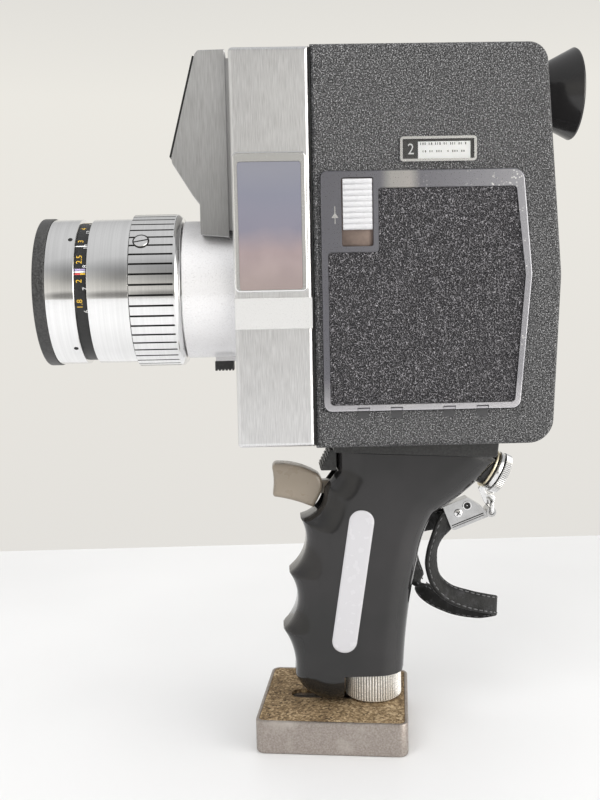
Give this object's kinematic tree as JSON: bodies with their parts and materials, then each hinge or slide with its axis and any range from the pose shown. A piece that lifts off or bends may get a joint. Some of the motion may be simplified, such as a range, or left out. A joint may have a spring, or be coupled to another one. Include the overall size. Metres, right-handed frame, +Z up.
{
  "type": "8 mm cine camera",
  "caption": "Hand-held 8 mm cine camera with a zoom lens, a pistol grip with trigger and wrist strap, an eyecup, a side film door, and a small table stand.",
  "frame": {"origin": "centre of the stand's foot, on the surface it stands on", "axes": "+Z up, -X the way the lens looks, -Y the side with the film door"},
  "size_m": [0.2015, 0.0629, 0.2645],
  "materials": {
    "black_wrinkle_paint": "textured",
    "brushed_aluminium": "brushed",
    "door_aluminium": "satin",
    "polished_aluminium": "polished",
    "satin_silver": "satin",
    "black_anodised": "matte",
    "bright_chrome": "polished",
    "knurled_chrome": "knurled",
    "mirror_plate": "polished",
    "leatherette": "grained",
    "strap_leather": "satin",
    "gloss_black_plastic": "gloss",
    "matte_black_plastic": "textured",
    "white_plastic": "gloss",
    "tan_plastic": "satin",
    "optical_glass": "polished",
    "printed_card": "matte",
    "black_rubber": "matte",
    "brass": "machined",
    "steel": "machined",
    "blackened_tube": "matte",
    "battery_wrap": "gloss",
    "stand_bronze": "satin",
    "cork": "granular"
  },
  "bodies": {
    "camera": {"body_shell": "black_wrinkle_paint", "seam_gasket": "black_rubber", "case_screws": "black_wrinkle_paint", "front_housing": "brushed_aluminium", "side_trim_bands": "brushed_aluminium", "panel_bezel": "bright_chrome", "panel_plate": "mirror_plate", "meter_hood": "brushed_aluminium", "hood_front_plate": "gloss_black_plastic", "meter_window": "optical_glass", "exposure_meter": "blackened_tube", "door_hinge": "black_wrinkle_paint", "chart_bezel": "bright_chrome", "chart_glass": "optical_glass", "chart_card": "printed_card", "finder_tube": "blackened_tube", "lens_tube": "polished_aluminium", "lens_mount_barrel": "satin_silver", "fixed_optics": "optical_glass", "motor": "steel", "drive_belt": "black_rubber", "gate_plate": "steel", "chassis": "door_aluminium", "batteries": "battery_wrap", "grip_left": "gloss_black_plastic", "grip_right": "gloss_black_plastic", "grip_inlays": "white_plastic", "grip_saddle": "matte_black_plastic", "finger_stop": "matte_black_plastic", "thread_bushes": "brass", "trigger_spring": "steel", "strap_boss": "bright_chrome", "stand_screw": "knurled_chrome"},
    "film_door": {"film_door_frame": "door_aluminium", "film_door_panel": "leatherette"},
    "door_latch": {"latch_slide": "white_plastic"},
    "footage_dial": {"footage_dial": "matte_black_plastic"},
    "eyepiece": {"eyecup": "gloss_black_plastic", "eyepiece_sleeve": "blackened_tube", "eyepiece_lens": "optical_glass"},
    "zoom_ring": {"zoom_ring": "polished_aluminium", "zoom_ring_screw": "polished_aluminium"},
    "focus_ring": {"distance_scale_ring": "black_anodised", "focus_ring": "polished_aluminium", "lens_front_rim": "black_anodised", "front_lens": "optical_glass"},
    "variator": {"variator_lens": "optical_glass"},
    "lens_lever": {"lens_lever": "door_aluminium"},
    "motor_rotor": {"motor_pulley": "brass"},
    "shutter": {"shutter": "steel"},
    "film_claw": {"film_claw": "steel"},
    "take_up": {"take_up_spindle": "brass"},
    "grip_screw": {"grip_screw": "knurled_chrome"},
    "trigger": {"trigger": "tan_plastic"},
    "strap_screw": {"strap_screw": "bright_chrome"},
    "bail": {"bail": "bright_chrome"},
    "strap": {"strap_clip": "bright_chrome", "wrist_strap": "strap_leather"},
    "stand": {"stand_block": "stand_bronze", "stand_cork": "cork"}
  },
  "joints": [
    {"name": "film_door_hinge", "type": "hinge", "parent": "camera", "child": "film_door", "pos_m": [0.031, -0.0307, 0.13195], "axis": [1, 0, 0], "range_deg": [0, 95]},
    {"name": "door_latch_slide", "type": "slide", "parent": "film_door", "child": "door_latch", "axis": [0, 0, -1], "range_m": [0, 0.0053], "stiffness_N_per_m": 300, "springref_m": -0.002},
    {"name": "footage_dial_turn", "type": "hinge", "parent": "camera", "child": "footage_dial", "pos_m": [0.0205, -0.027, 0.2234], "axis": [0, 1, 0], "continuous": true},
    {"name": "eyepiece_turn", "type": "hinge", "parent": "camera", "child": "eyepiece", "pos_m": [0.077, 0, 0.2475], "axis": [1, 0, 0], "range_deg": [-60, 60]},
    {"name": "zoom_turn", "type": "hinge", "parent": "camera", "child": "zoom_ring", "pos_m": [-0.064, 0, 0.1762], "axis": [1, 0, 0], "range_deg": [-55, 55]},
    {"name": "focus_turn", "type": "hinge", "parent": "camera", "child": "focus_ring", "pos_m": [-0.097, 0, 0.1762], "axis": [1, 0, 0], "range_deg": [-140, 140]},
    {"name": "variator_slide", "type": "slide", "parent": "camera", "child": "variator", "axis": [1, 0, 0], "range_m": [-0.0055, 0.0055]},
    {"name": "lens_lever_swing", "type": "hinge", "parent": "camera", "child": "lens_lever", "pos_m": [-0.0388, 0, 0.147], "axis": [0, 0, 1], "range_deg": [-20, 20]},
    {"name": "motor_spin", "type": "hinge", "parent": "camera", "child": "motor_rotor", "pos_m": [-0.009, 0, 0.134], "axis": [1, 0, 0], "continuous": true},
    {"name": "shutter_spin", "type": "hinge", "parent": "camera", "child": "shutter", "pos_m": [-0.007, 0, 0.155], "axis": [1, 0, 0], "continuous": true},
    {"name": "film_claw_stroke", "type": "slide", "parent": "camera", "child": "film_claw", "axis": [0, 0, 1], "range_m": [-0.0021, 0.0021]},
    {"name": "take_up_spin", "type": "hinge", "parent": "camera", "child": "take_up", "pos_m": [0.037, 0.012, 0.169], "axis": [0, 1, 0], "continuous": true},
    {"name": "grip_screw_turn", "type": "hinge", "parent": "camera", "child": "grip_screw", "pos_m": [0.0153, 0, 0.019], "axis": [0, 0, 1], "continuous": true},
    {"name": "trigger_pull", "type": "slide", "parent": "camera", "child": "trigger", "axis": [1, 0, 0], "range_m": [0, 0.0025], "stiffness_N_per_m": 400, "springref_m": -0.002, "deforming": ["trigger_spring"]},
    {"name": "strap_screw_turn", "type": "hinge", "parent": "camera", "child": "strap_screw", "pos_m": [0.0618, 0, 0.1041], "axis": [0.8838, 0, -0.4679], "continuous": true},
    {"name": "bail_swing", "type": "hinge", "parent": "camera", "child": "bail", "pos_m": [0.0626, 0, 0.0914], "axis": [0, -1, 0], "range_deg": [0, 30]},
    {"name": "strap_clip_swing", "type": "hinge", "parent": "bail", "child": "strap", "pos_m": [0.0626, 0, 0.0868], "axis": [0, -1, 0], "range_deg": [0, 25]},
    {"name": "stand_swivel", "type": "hinge", "parent": "camera", "child": "stand", "pos_m": [-0.004, 0, 0.009], "axis": [0, 0, 1], "range_deg": [-90, 90]}
  ],
  "couplings": [
    {"joint": "motor_spin", "follows": "shutter_spin", "ratio": 2.4},
    {"joint": "take_up_spin", "follows": "shutter_spin", "ratio": -0.045},
    {"joint": "footage_dial_turn", "follows": "shutter_spin", "ratio": 0.0003},
    {"joint": "variator_slide", "follows": "zoom_turn", "m_per_rad": 0.00573}
  ]
}
